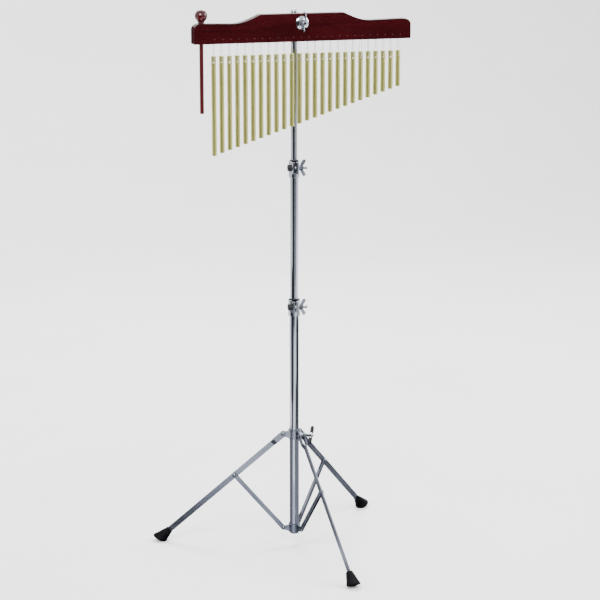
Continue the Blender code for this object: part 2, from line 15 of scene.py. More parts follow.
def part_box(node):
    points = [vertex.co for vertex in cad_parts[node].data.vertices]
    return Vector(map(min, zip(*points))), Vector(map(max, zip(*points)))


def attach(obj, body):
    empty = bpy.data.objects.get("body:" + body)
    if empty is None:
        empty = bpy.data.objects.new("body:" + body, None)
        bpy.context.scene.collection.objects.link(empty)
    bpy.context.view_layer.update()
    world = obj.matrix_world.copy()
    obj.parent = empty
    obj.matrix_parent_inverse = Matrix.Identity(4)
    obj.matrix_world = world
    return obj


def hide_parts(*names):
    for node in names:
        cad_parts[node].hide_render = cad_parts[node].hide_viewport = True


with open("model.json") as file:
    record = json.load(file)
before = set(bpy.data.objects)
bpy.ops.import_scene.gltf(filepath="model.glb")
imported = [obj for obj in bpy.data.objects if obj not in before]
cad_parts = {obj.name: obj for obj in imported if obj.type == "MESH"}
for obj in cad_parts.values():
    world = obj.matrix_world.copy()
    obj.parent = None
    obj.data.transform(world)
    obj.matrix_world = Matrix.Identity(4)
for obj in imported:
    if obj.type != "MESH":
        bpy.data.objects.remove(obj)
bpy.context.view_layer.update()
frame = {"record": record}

# ---- the CAD frame -------------------------------------------------------------------------
JOINTS = {joint["name"]: joint for joint in frame["record"]["behaviour"]["joints"]}
BODIES = frame["record"]["behaviour"]["bodies"]
BODY_OF = {node: body for body, nodes in BODIES.items() for node in nodes}
CHIMES = sorted(body for body in BODIES if body.startswith("chime_"))
SIDES_OF_STAND = ("front", "right", "left")
POLE = Vector(JOINTS["board_swivel"]["pos_m"])

# ---- sizes, in metres, most of them the CAD model's -----------------------------------------
SIDES = 64  # facets round every turned piece
SHARP_ANGLE = 38  # degrees between faces, above which an edge stays sharp
TOP_TUBE_R, TOP_TUBE_BORE = 0.00635, 0.00535
MIDDLE_TUBE_R, MIDDLE_TUBE_BORE = 0.00795, 0.00675
BASE_TUBE_R, BASE_TUBE_BORE = 0.009525, 0.00835
SLIP, GAP = 0.0005, 0.0003
CAP_RIM = 0.00035  # between a plug and the bore it sits in

BOARD_LENGTH, BOARD_THICKNESS = 0.445, 0.020
BOARD_END_HEIGHT, BOARD_FOOT_HEIGHT, BOARD_MIDDLE_HEIGHT = 0.0392, 0.0377, 0.0540
BOARD_RAMP, BOARD_CREST, CREST_SHIFT = 0.056, 0.170, -0.0031
BOARD_CORNER = (0.015, 0.0115)
BOARD_SHIFT, BOLT_ABOVE_EDGE = 0.0051, 0.036
BLOCK_WIDTH, BLOCK_DEPTH, BLOCK_TOP, BLOCK_SHIFT = 0.041, 0.0145, 0.0512, 0.0044
SCREW_X, SCREW_R = 0.0145, 0.0015

BOLT_R, BOLT_CORE_R = 0.0030, 0.0024
BOARD_BOLT_HOLE_R, BOLT_HOLE_R = 0.0035, 0.0034
EYE_R, EYE_HALF, EYE_BOLT_LENGTH = 0.0104, 0.0045, 0.0635
WASHER_HEIGHT = 0.0045
BOARD_NUT_TURN, CLAMP_NUT_TURN = 82, 4  # degrees
CLAMP_HALF, CLAMP_WALL = 0.0115, 0.0024
EAR_HALF, EAR_REACH, SLOT_HALF = 0.0070, 0.0068, 0.0008
NUT_SEAT, BUSH_ABOVE_TUBE = 0.0073, 0.0125

BAR_R, BAR_HOLE_DEPTH = 0.00475, 0.0125
BAR_HOLE_R = 0.0017  # 0.3 mm wider than in the CAD model
STRAND_R, STRAND_SPREAD = 0.00040, 0.0042  # the nylon, and half its spread at the board
PIN_R, PIN_ABOVE_EDGE = 0.0011, 0.0084
BEATER_ROD_R, BEATER_BALL_R, BEATER_FROM_END = 0.004, 0.012, 0.0176
BALL_SOCKET_TOP, ROD_TOP = -0.0040, -0.0045  # from the ball's middle

PIVOT_RADIUS, PLANE_SHIFT = 0.022, 0.006
LEG_DEPTH, LEG_HALF_WIDTH, LEG_LENGTH = 0.0114, 0.0014, 0.3465
FORK_LENGTH, FORK_NECK = 0.021, 0.030
LUG_HALF, CHEEK = 0.0037, 0.0015
SLEEVE_R, HUB_HALF, COLLAR_HALF = 0.0122, 0.0098, 0.0088
BRACE_DEPTH, BRACE_WALL, BRACE_FORK = 0.0085, 0.0009, 0.024
BRACE_HALF_WIDTH = LEG_HALF_WIDTH + 0.0004 + BRACE_WALL
FOOT_LENGTH, LEG_IN_FOOT, SOLE_SLOPE = 0.0295, 0.0175, 0.40
WING_BOLT_REACH = 0.0365

# ---- the view and the studio ---------------------------------------------------------------
CAMERA_HEADING, CAMERA_PITCH = 19.5, 12.55  # degrees to the left of the board's front, and down
CAMERA_AIM = 0.175  # degrees that the lens points to the right of the pole
CAMERA_DISTANCE, CAMERA_HEIGHT, CAMERA_LENS = 3.826, 1.367, 117.0
MAT_HEIGHT, CARD_SHADE = 0.003, 0.012


# ---- placing -------------------------------------------------------------------------------
def turn(axis, degrees):
    return Matrix.Rotation(math.radians(degrees), 4, axis)


def shift(x=0.0, y=0.0, z=0.0):
    return Matrix.Translation((x, y, z))


def axes_at(x_axis, y_axis, z_axis, origin):
    """The frame with these axes, given in the world."""
    columns = [Vector(axis).to_4d() for axis in (x_axis, y_axis, z_axis)]
    for column in columns:
        column.w = 0.0
    return Matrix(columns + [Vector(origin).to_4d()]).transposed()


def on_pole(z):
    return shift(POLE.x, POLE.y, z)


def low_z(node):
    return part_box(node)[0].z


def high_z(node):
    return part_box(node)[1].z


def middle_z(node):
    return (low_z(node) + high_z(node)) / 2


ALONG_X = turn("Y", 90)
ALONG_FRONT = turn("X", 90)  # takes +Z to -Y
ALONG_BACK = turn("X", -90)  # takes +Z to +Y


# ---- shapes --------------------------------------------------------------------------------
def finished(bm, name="shape"):
    bmesh.ops.recalc_face_normals(bm, faces=bm.faces)
    mesh = bpy.data.meshes.new(name)
    bm.to_mesh(mesh)
    bm.free()
    return mesh


def arc(centre, radius, start, end, steps):
    """Points of an arc from start to end, in degrees."""
    return [
        (
            centre[0] + radius * math.cos(math.radians(start + (end - start) * i / steps)),
            centre[1] + radius * math.sin(math.radians(start + (end - start) * i / steps)),
        )
        for i in range(steps + 1)
    ]


def eased(points, radius, closed=True, steps=4):
    """The polyline with every real corner rounded off."""
    out = []
    for i, point in enumerate(points):
        if not closed and i in (0, len(points) - 1):
            out.append(point)
            continue
        here = Vector(point)
        back = Vector(points[i - 1]) - here
        on = Vector(points[(i + 1) % len(points)]) - here
        if back.length < 1e-7 or on.length < 1e-7 or back.angle(on) > math.radians(158):
            out.append(point)
            continue
        trim = min(radius / math.tan(back.angle(on) / 2), 0.45 * back.length, 0.45 * on.length)
        start, end = here + back.normalized() * trim, here + on.normalized() * trim
        for k in range(steps + 1):
            t = k / steps
            out.append(tuple(start * (1 - t) ** 2 + here * 2 * t * (1 - t) + end * t**2))
    return out


def turned(profile, sides=SIDES, closed=False, edge=0.0004):
    """The (radius, height) profile spun about Z, its corners eased; closed makes a ring."""
    profile = eased(profile, edge, closed)
    bm = bmesh.new()
    points = [bm.verts.new((radius, 0.0, height)) for radius, height in profile]
    edges = [bm.edges.new(pair) for pair in zip(points, points[1:])]
    if closed:
        edges.append(bm.edges.new((points[-1], points[0])))
    bmesh.ops.spin(
        bm, geom=points + edges, cent=(0, 0, 0), axis=(0, 0, 1), angle=math.tau, steps=sides
    )
    bmesh.ops.remove_doubles(bm, verts=bm.verts, dist=2e-6)
    return finished(bm)


def ring(outer, inner, low, high, sides=SIDES, edge=0.0004):
    corners = [(outer, high), (outer, low), (inner, low), (inner, high)]
    return turned(corners, sides, closed=True, edge=edge)


def cylinder(radius, low, high, sides=SIDES, edge=0.0003):
    return turned([(0, high), (radius, high), (radius, low), (0, low)], sides, edge=edge)


def threaded(radius, low, high, pitch=0.0011, depth=0.0003):
    """The profile of a threaded stretch, from high to low."""
    turns = int((high - low) / pitch)
    points = []
    for i in range(turns):
        top = high - i * pitch
        points += [(radius - depth, top), (radius, top - 0.35 * pitch), (radius, top - 0.5 * pitch)]
    return points + [(radius - depth, low)]


def slab(outline, low, high, edge=0.0004):
    """The outline of (x, z) points, given thickness along Y, its rims eased."""
    bm = bmesh.new()
    face = bm.faces.new([bm.verts.new((x, low, z)) for x, z in outline])
    grown = bmesh.ops.extrude_face_region(bm, geom=[face])["geom"]
    corners = [item for item in grown if isinstance(item, bmesh.types.BMVert)]
    bmesh.ops.translate(bm, verts=corners, vec=(0, high - low, 0))
    bmesh.ops.recalc_face_normals(bm, faces=bm.faces)
    if edge:
        rims = [item for item in bm.edges if abs(item.verts[0].co.y - item.verts[1].co.y) < 1e-7]
        bmesh.ops.bevel(
            bm, geom=rims, offset=edge, segments=3, profile=0.5, affect="EDGES",
            clamp_overlap=True,
        )
    return finished(bm)


def box(low, high, edge=0.0):
    outline = [(low[0], low[2]), (high[0], low[2]), (high[0], high[2]), (low[0], high[2])]
    return slab(eased(outline, edge) if edge else outline, low[1], high[1], edge)


def flat(mesh):
    """A slab drawn in X and Z, laid down so that its outline is in X and Y."""
    mesh.transform(turn("X", -90))
    return mesh


def bar_outline(start, end, half, steps=16):
    """A strap along X with both ends rounded about start and end."""
    return arc((end, 0), half, -90, 90, steps) + arc((start, 0), half, 90, 270, steps)


def combined(operation, mesh, *tools):
    """The mesh after one Boolean with each (tool mesh, place)."""
    for tool, place in tools:
        body = bpy.data.objects.new("body", mesh)
        other = bpy.data.objects.new("tool", tool)
        other.matrix_world = place
        for obj in (body, other):
            bpy.context.scene.collection.objects.link(obj)
        modifier = body.modifiers.new("Boolean", "BOOLEAN")
        modifier.operation = operation
        modifier.object = other
        graph = bpy.context.evaluated_depsgraph_get()
        mesh = bpy.data.meshes.new_from_object(body.evaluated_get(graph))
        for obj in (body, other):
            bpy.data.objects.remove(obj)
    return mesh


def union(mesh, *tools):
    return combined("UNION", mesh, *tools)


def cut(mesh, *tools):
    return combined("DIFFERENCE", mesh, *tools)


def joined(*meshes):
    """Several meshes as one, each shell left as it is."""
    bm = bmesh.new()
    for mesh in meshes:
        bm.from_mesh(mesh)
    return finished(bm)


def moved(mesh, place):
    copy = mesh.copy()
    copy.transform(place)
    return copy


def smooth_path(points, per_span=6):
    """A Catmull-Rom curve through the points."""
    knots = [Vector(p) for p in points]
    knots = [2 * knots[0] - knots[1]] + knots + [2 * knots[-1] - knots[-2]]
    out = []
    for a, b, c, d in zip(knots, knots[1:], knots[2:], knots[3:]):
        for k in range(per_span):
            t = k / per_span
            out.append(
                0.5 * (2 * b + (c - a) * t + (2 * a - 5 * b + 4 * c - d) * t**2
                       + (3 * b - a - 3 * c + d) * t**3)
            )
    return out + [knots[-2]]


def strand(points, radius, sides=10):
    """A round thread along the points, its ends closed."""
    bm = bmesh.new()
    side = Vector((1, 0, 0))
    rings = []
    for i, point in enumerate(points):
        along = (points[min(i + 1, len(points) - 1)] - points[max(i - 1, 0)]).normalized()
        side = (side - along * side.dot(along)).normalized()
        across = along.cross(side)
        rings.append([
            bm.verts.new(point + radius * (side * math.cos(a) + across * math.sin(a)))
            for a in (math.tau * k / sides for k in range(sides))
        ])
    for lower, upper in zip(rings, rings[1:]):
        for k in range(sides):
            n = (k + 1) % sides
            bm.faces.new((lower[k], lower[n], upper[n], upper[k]))
    bm.faces.new(rings[0])
    bm.faces.new(list(reversed(rings[-1])))
    return finished(bm)


# ---- materials -----------------------------------------------------------------------------
def add(tree, kind, sockets, **settings):
    """A shader node with its inputs set, or linked where the value is another node's output."""
    made = tree.nodes.new("ShaderNode" + kind)
    for key, value in settings.items():
        setattr(made, key, value)
    for name, value in sockets.items():
        if isinstance(value, bpy.types.NodeSocket):
            tree.links.new(value, made.inputs[name])
        else:
            made.inputs[name].default_value = value
    return made


def noise(tree, scale, stretch, detail=4.0, distortion=0.0):
    """Noise over the piece's own coordinates, squeezed along each axis by stretch."""
    coords = add(tree, "TexCoord", {}).outputs["Object"]
    place = add(tree, "Mapping", {"Vector": coords, "Scale": stretch}).outputs["Vector"]
    sockets = {"Vector": place, "Scale": scale, "Detail": detail, "Distortion": distortion}
    return add(tree, "TexNoise", sockets).outputs[0]


def ramp(tree, value, *stops):
    """A colour ramp through (position, (r, g, b)) stops."""
    made = add(tree, "ValToRGB", {"Fac": value})
    while len(made.color_ramp.elements) < len(stops):
        made.color_ramp.elements.new(0.5)
    for element, (position, colour) in zip(made.color_ramp.elements, stops):
        element.position = position
        element.color = (*colour, 1.0)
    return made.outputs["Color"]


def spread(tree, value, low, high, start=0.3, end=0.7):
    """The value's middle range, stretched to run from low to high."""
    sockets = {"Value": value, "From Min": start, "From Max": end, "To Min": low, "To Max": high}
    return add(tree, "MapRange", sockets).outputs["Result"]


def bump(tree, height, distance):
    return add(tree, "Bump", {"Height": height, "Distance": distance}).outputs["Normal"]


def surface(name, colours, rough, grain, height, mottle=(1, 1, 1), broad=40.0, fine=900.0, **fixed):
    """A Principled material: broad noise moves its colour, and fine noise its gloss and relief.

    grain and mottle stretch the fine and the broad noise; height is the relief in metres.
    """
    look = bpy.data.materials.new(name)
    look.use_nodes = True
    tree = look.node_tree
    shader = tree.nodes["Principled BSDF"]
    wide = noise(tree, broad, mottle, 5.0, 0.4)
    close = noise(tree, fine, grain, 3.0)
    low, high = colours
    tree.links.new(ramp(tree, wide, (0.32, low), (0.68, high)), shader.inputs["Base Color"])
    both = add(tree, "Math", {0: wide, 1: close}, operation="ADD").outputs[0]
    tree.links.new(spread(tree, both, *rough, start=0.7, end=1.3), shader.inputs["Roughness"])
    tree.links.new(bump(tree, close, height), shader.inputs["Normal"])
    for socket, value in fixed.items():
        shader.inputs[socket.replace("_", " ")].default_value = value
    return look


def lacquered_wood(name, dark, light, grain, coat):
    """Stained wood grain under a deep gloss coat with a faint orange-peel ripple."""
    look = bpy.data.materials.new(name)
    look.use_nodes = True
    tree = look.node_tree
    shader = tree.nodes["Principled BSDF"]
    rings = noise(tree, 26.0, grain, 6.0, 1.2)
    pores = noise(tree, 520.0, tuple(0.25 * g + 0.05 for g in grain), 4.0)
    streaks = add(tree, "Math", {0: rings, 1: spread(tree, pores, -0.06, 0.06)}).outputs[0]
    middle = tuple((a + b) / 2 for a, b in zip(dark, light))
    colour = ramp(tree, streaks, (0.30, dark), (0.52, middle), (0.74, light))
    tree.links.new(colour, shader.inputs["Base Color"])
    tree.links.new(spread(tree, pores, 0.28, 0.42), shader.inputs["Roughness"])
    tree.links.new(bump(tree, pores, 0.00002), shader.inputs["Normal"])
    peel = noise(tree, 150.0, (1, 1, 1), 2.0)
    tree.links.new(bump(tree, peel, 0.00003), shader.inputs["Coat Normal"])
    shader.inputs["Coat Weight"].default_value = coat
    shader.inputs["Coat Roughness"].default_value = 0.05
    shader.inputs["Specular IOR Level"].default_value = 0.0
    return look


def wood_looks():
    return {
        "lacquer": lacquered_wood(
            "mahogany_lacquer", (0.0120, 0.0010, 0.0016), (0.0265, 0.0020, 0.0030),
            (0.12, 1.0, 1.6), 0.55,
        ),
        "red_lacquer": lacquered_wood(
            "beater_lacquer", (0.020, 0.0008, 0.0014), (0.040, 0.0018, 0.0028),
            (1.5, 1.5, 0.16), 0.8,
        ),
    }


def metal_looks():
    along_x, along_z, even = (0.04, 1.0, 1.0), (1.0, 1.0, 0.015), (1, 1, 1)
    return {
        "gold": surface(
            "champagne_bar", ((0.49, 0.475, 0.150), (0.58, 0.565, 0.200)), (0.24, 0.33), along_z,
            0.0000005, mottle=(1.0, 1.0, 0.06), broad=90.0, Metallic=1.0,
        ),
        "chrome": surface(
            "chrome_tube", ((0.27, 0.29, 0.34), (0.38, 0.40, 0.45)), (0.06, 0.16), along_z,
            0.000002, mottle=(1.0, 1.0, 0.10), broad=30.0, Metallic=1.0,
        ),
        "bright": surface(
            "bright_chrome", ((0.34, 0.355, 0.39), (0.46, 0.475, 0.51)), (0.05, 0.14), even,
            0.000004, broad=60.0, Metallic=1.0,
        ),
        "zinc": surface(
            "satin_steel", ((0.115, 0.128, 0.155), (0.205, 0.223, 0.265)), (0.18, 0.34), along_x,
            0.000012, mottle=(0.35, 1.0, 1.0), broad=45.0, Metallic=1.0,
        ),
        "pin": surface(
            "copper_pin", ((0.060, 0.026, 0.025), (0.120, 0.055, 0.052)), (0.30, 0.50), even,
            0.000006, broad=300.0, Metallic=1.0,
        ),
    }


def plastic_looks():
    along_z, even = (1.0, 1.0, 0.015), (1, 1, 1)
    return {
        "rubber": surface(
            "black_rubber", ((0.0010, 0.0009, 0.0014), (0.0030, 0.0028, 0.0042)), (0.36, 0.58),
            even, 0.00003, broad=60.0, fine=1400.0, Specular_IOR_Level=0.05,
        ),
        "black_plastic": surface(
            "black_plastic", ((0.0030, 0.0030, 0.0038), (0.0070, 0.0070, 0.0085)), (0.30, 0.45),
            even, 0.00002, broad=80.0, fine=1800.0, Specular_IOR_Level=0.2,
        ),
        "nylon": surface(
            "clear_nylon", ((0.55, 0.54, 0.58), (0.72, 0.71, 0.75)), (0.15, 0.28), along_z,
            0.000004, broad=200.0, IOR=1.53, Transmission_Weight=0.75,
        ),
    }


# ---- pieces --------------------------------------------------------------------------------
def piece(name, mesh, look, body, place=Matrix(), nodes=()):
    """One piece at its place, riding on its body and standing for its CAD nodes."""
    obj = bpy.data.objects.new(name, mesh)
    bpy.context.scene.collection.objects.link(obj)
    obj.matrix_world = place
    mesh.materials.clear()
    mesh.materials.append(LOOKS[look])
    mesh.shade_smooth()
    mesh.set_sharp_from_angle(angle=math.radians(SHARP_ANGLE))
    weighted = obj.modifiers.new("Normals", "WEIGHTED_NORMAL")
    weighted.keep_sharp = True
    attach(obj, body)
    if nodes:
        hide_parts(*nodes)
    return obj


def stands_for(node, mesh, look, place=Matrix()):
    """The finished piece for one CAD node, on that node's body."""
    return piece(f"{node}_finish", mesh, look, BODY_OF[node], place, (node,))


# ---- board ---------------------------------------------------------------------------------
def board_top(x):
    """Height of the top edge above the lower edge, x from the board's middle."""
    past_crest = abs(x - CREST_SHIFT) - BOARD_CREST / 2
    if past_crest < BOARD_RAMP:
        fall = math.sin(math.pi / 2 * max(past_crest, 0.0) / BOARD_RAMP)
        return BOARD_MIDDLE_HEIGHT - (BOARD_MIDDLE_HEIGHT - BOARD_FOOT_HEIGHT) * fall
    run = BOARD_LENGTH / 2 - BOARD_CREST / 2 - BOARD_RAMP
    rise = math.sin(math.pi / 2 * min((past_crest - BOARD_RAMP) / run, 1.0))
    return BOARD_FOOT_HEIGHT + (BOARD_END_HEIGHT - BOARD_FOOT_HEIGHT) * rise


def board_corner(side, steps=12):
    """The rounded upper corner, from the top edge round to the end; side is 1 or -1."""
    wide, high = BOARD_CORNER
    middle = BOARD_LENGTH / 2 - wide
    points = arc((0, 0), 1.0, 90, 0, steps)
    return [(side * (middle + wide * x), BOARD_END_HEIGHT - high * (1 - z)) for x, z in points]


def board_outline():
    half, low = BOARD_LENGTH / 2, 0.0015
    left, right = CREST_SHIFT - BOARD_CREST / 2, CREST_SHIFT + BOARD_CREST / 2
    top = [right + BOARD_RAMP * (24 - i) / 24 for i in range(25)]
    top += [left - BOARD_RAMP * i / 24 for i in range(25)]
    upper = board_corner(1)[::-1] + [(x, board_top(x)) for x in top] + board_corner(-1)
    return [(half - low, 0.0), (half, low)] + upper + [(-half, low), (low - half, 0.0)]


def build_board():
    low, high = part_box("mantle")
    place = shift((low.x + high.x) / 2, (low.y + high.y) / 2, low.z)
    mesh = slab(board_outline(), -BOARD_THICKNESS / 2, BOARD_THICKNESS / 2, 0.0009)
    beater_hole = cylinder(BEATER_ROD_R + 0.00075, -0.01, 0.07, 40)
    bolt_hole = cylinder(BOARD_BOLT_HOLE_R, -0.03, 0.03, 32)
    mesh = cut(
        mesh,
        (beater_hole, shift(x=BEATER_FROM_END - BOARD_LENGTH / 2)),
        (bolt_hole, shift(x=-BOARD_SHIFT, z=BOLT_ABOVE_EDGE) @ ALONG_FRONT),
    )
    stands_for("mantle", mesh, "lacquer", place)
    build_block(place)
    build_pins(place)


def build_block(board):
    place = board @ shift(y=BOARD_THICKNESS / 2 + GAP)
    low, high = BLOCK_SHIFT - BLOCK_WIDTH / 2, BLOCK_SHIFT + BLOCK_WIDTH / 2
    screw_place = shift(SCREW_X - BOARD_SHIFT, BLOCK_DEPTH / 2, BLOCK_TOP)
    bolt_hole = cylinder(BOARD_BOLT_HOLE_R, -0.01, 0.03, 32)
    mesh = cut(
        box((low, 0, 0.0025), (high, BLOCK_DEPTH, BLOCK_TOP), 0.0012),
        (bolt_hole, shift(x=-BOARD_SHIFT, z=BOLT_ABOVE_EDGE) @ ALONG_BACK),
        (cylinder(SCREW_R + 0.0004, -0.0155, 0.01, 24), screw_place),
    )
    stands_for("mantle_back_block", mesh, "lacquer", place)
    head = [(0, 0.0060), (0.0010, 0.0059), (0.0019, 0.0054), (0.0026, 0.0045), (0.0030, 0.0032)]
    shank = [(0.0030, 0.0026), (SCREW_R, 0.0026)]
    shank += threaded(SCREW_R, -0.0140, 0.0020, 0.0009, 0.00035)
    screw = turned(head + shank + [(0, -0.0150)], 40, edge=0.0001)
    recess = box((-0.0016, -0.00028, 0.0045), (0.0016, 0.00028, 0.01))
    screw = cut(screw, (recess, turn("Z", 20)), (recess, turn("Z", 110)))
    stands_for("mantle_block_screw", screw, "bright", place @ screw_place)


def build_pins(board):
    """The heads of the pins that hold the nylon, in line with the bars along the lower edge."""
    head = turned(
        [(0, 0.0008), (0.0006, 0.00065), (PIN_R - 0.0001, 0.0003), (PIN_R, -0.0006), (0, -0.0006)],
        20, edge=0.0002,
    )
    front = board.inverted()
    heads = []
    for chime in CHIMES:
        x = (front @ Vector(JOINTS[f"{chime}_swing"]["pos_m"])).x
        spot = shift(x, -BOARD_THICKNESS / 2, PIN_ABOVE_EDGE) @ ALONG_FRONT
        heads.append(moved(head, spot))
    piece("hanger_pins", joined(*heads), "pin", BODY_OF["mantle"], board)


def wing_nut():
    """A wing nut on +Z, its seat at z = 0 and its wings along +X and -X."""
    hub = turned([(0, 0.0085), (0.0042, 0.0085), (0.0057, 0.0015), (0.0055, 0), (0, 0)], 48)
    outline = [(0.003, 0.0012)] + arc((0.0132, 0.0100), 0.0037, -50, 130, 16) + [(0.0030, 0.0078)]
    wing = slab(eased(outline, 0.001), -0.0014, 0.0014, 0.0009)
    for vert in wing.vertices:
        vert.co.y *= 1.0 - 0.28 * min(vert.co.x / 0.017, 1.0)
    nut = union(hub, (wing, Matrix()), (wing, turn("Z", 180)))
    return cut(nut, (cylinder(0.0032, -0.01, 0.02, 32), Matrix()))


def build_board_bolt():
    """The eye bolt round the pole, with its cup washer and wing nut on the board's face."""
    bolt = Vector(JOINTS["board_tilt"]["pos_m"])
    eye_place = on_pole(bolt.z)
    eye = ring(EYE_R, TOP_TUBE_R + SLIP, -EYE_HALF, EYE_HALF, edge=0.0016)
    end = EYE_BOLT_LENGTH
    shank = [(0, end), (BOLT_CORE_R, end), (BOLT_R, end - 0.0006), (BOLT_R, end - 0.001)]
    shank += threaded(BOLT_R, 0.0400, end - 0.001)
    shank += [(BOLT_R, 0.0395), (BOLT_R, 0.009), (0, 0.009)]
    mesh = union(eye, (turned(shank, 40, edge=0.00008), ALONG_FRONT))
    stands_for("mantle_eye_bolt", mesh, "bright", eye_place)
    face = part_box("mantle")[0].y - GAP
    washer_place = shift(POLE.x, face, bolt.z) @ ALONG_FRONT
    cup = [
        (0.0035, 0.0), (0.0115, 0.0), (0.0131, 0.0006), (0.0131, 0.0018), (0.0113, 0.0032),
        (0.0075, WASHER_HEIGHT), (0.0060, WASHER_HEIGHT), (0.0035, 0.0030),
    ]
    stands_for("mantle_washer", turned(cup, 96, closed=True), "bright", washer_place)
    nut_place = washer_place @ shift(z=WASHER_HEIGHT + GAP) @ turn("Z", BOARD_NUT_TURN)
    stands_for("mantle_wing_nut", wing_nut(), "chrome", nut_place)


# ---- bars and beater -----------------------------------------------------------------------
def hole_cutter():
    """A drill through the bar along Y, flared where it meets the surface."""
    flare = BAR_HOLE_R + 0.0005
    profile = [(0, 0.008), (flare, 0.008), (flare, BAR_R - 0.00005), (BAR_HOLE_R, BAR_R - 0.0008)]
    return turned(profile + [(r, -z) for r, z in reversed(profile)], 28, edge=0.0)


def build_bar(chime, cutter):
    """A bar and its loop, turned a little so that its hole looks out to the left of the board."""
    hinge = Vector(JOINTS[f"{chime}_swing"]["pos_m"])
    twist = turn("Z", -8.0 + 5.0 * math.sin(2.4 * CHIMES.index(chime)))
    low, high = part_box(chime)
    top, foot = high.z - hinge.z, low.z - hinge.z
    bar = turned([(0, top), (BAR_R, top), (BAR_R, foot), (0, foot)], 48, edge=0.0007)
    hole = top - BAR_HOLE_DEPTH
    bar = cut(bar, (cutter, twist @ shift(z=hole) @ ALONG_BACK))
    place = Matrix.Translation(hinge)
    stands_for(chime, bar, "gold", place)
    out = BAR_R + STRAND_R + 0.0001
    half = [
        (0, -STRAND_SPREAD, 0.0006), (0, -0.9 * out, 0.35 * top), (0, -out, 0.75 * top),
        (0, -out, top - 0.006), (0, -out, hole + 0.0022), (0, -out + 0.0006, hole + 0.0004),
        (0, -0.6 * BAR_R, hole),
    ]
    route = [twist @ Vector(point) for point in half + [(x, -y, z) for x, y, z in half[::-1]]]
    thread = strand(smooth_path(route), STRAND_R)
    piece(f"{chime}_loop", thread, "nylon", BODY_OF[chime], place)


def build_beater():
    low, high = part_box("beater_ball")
    middle = (low + high) / 2
    ball_z = high.z - BEATER_BALL_R
    neck_low = low.z - ball_z
    ball = arc((0, 0), BEATER_BALL_R, 90, -54, 30)
    ball += [(0.0064, -0.0108), (0.0061, neck_low + 0.0012), (0.0064, neck_low)]
    socket = BEATER_ROD_R + GAP
    ball += [(socket, neck_low), (socket, BALL_SOCKET_TOP), (0, BALL_SOCKET_TOP)]
    place = shift(middle.x, middle.y, ball_z)
    stands_for("beater_ball", turned(ball, 72, edge=0.0005), "red_lacquer", place)
    foot = low_z("beater_rod") - ball_z
    rod = [(0, ROD_TOP), (BEATER_ROD_R, ROD_TOP), (BEATER_ROD_R, foot), (0, foot)]
    stands_for("beater_rod", turned(rod, 48, edge=0.0013), "red_lacquer", place)


# ---- tubes and clamps ----------------------------------------------------------------------
def clamp_mesh(tube_r, bolt_forward):
    """A split band round a tube, with two ears in front, a bolt hole and a sleeve below."""
    bore = tube_r + SLIP
    outer = bore + CLAMP_WALL
    ear_end = bolt_forward + EAR_REACH
    around = math.degrees(math.asin(EAR_HALF / outer))
    inside = math.degrees(math.asin(SLOT_HALF / bore))
    outline = arc((0, 0), outer, -90 + around, 270 - around, 56)
    outline += [(-EAR_HALF, -ear_end + 0.002), (-EAR_HALF + 0.002, -ear_end)]
    outline += [(-SLOT_HALF, -ear_end)]
    outline += arc((0, 0), bore, 270 - inside, -90 + inside, 56)
    outline += [(SLOT_HALF, -ear_end), (EAR_HALF - 0.002, -ear_end), (EAR_HALF, -ear_end + 0.002)]
    band = flat(slab(outline, -CLAMP_HALF, CLAMP_HALF, 0.0006))
    hole = cylinder(BOLT_HOLE_R, -0.02, 0.02, 32)
    band = cut(band, (hole, shift(y=-bolt_forward) @ ALONG_X))
    sleeve = ring(outer - 0.00015, bore + 0.00008, -0.0208, -0.0105)
    return union(band, (sleeve, Matrix()))


def clamp_bolt_mesh():
    """A hex-headed bolt along +X, its head to the left of the ears."""
    hexagon = [(0, -0.0073), (0.0058, -0.0073), (0.0058, -0.0120), (0, -0.0120)]
    head = turned(hexagon, 6, edge=0.0005)
    shank = [(0, 0.0240), (BOLT_CORE_R, 0.0240), (BOLT_R, 0.0234)]
    shank += threaded(BOLT_R, 0.0060, 0.0234) + [(BOLT_R, 0.0055), (BOLT_R, -0.0090), (0, -0.0090)]
    return union(turned(shank, 36, edge=0.00008), (head, Matrix()))


def bush_mesh(tube_r, tube_bore_r, above):
    """A flanged plastic bush round the sliding tube, on top of the tube that the clamp is on."""
    bore = tube_bore_r + SLIP - 0.00005
    profile = [
        (bore, 0), (tube_r, 0), (tube_r, above), (tube_r + 0.0009, above),
        (tube_r + 0.0009, above + 0.0010), (bore, above + 0.0010),
    ]
    return turned(profile, closed=True)


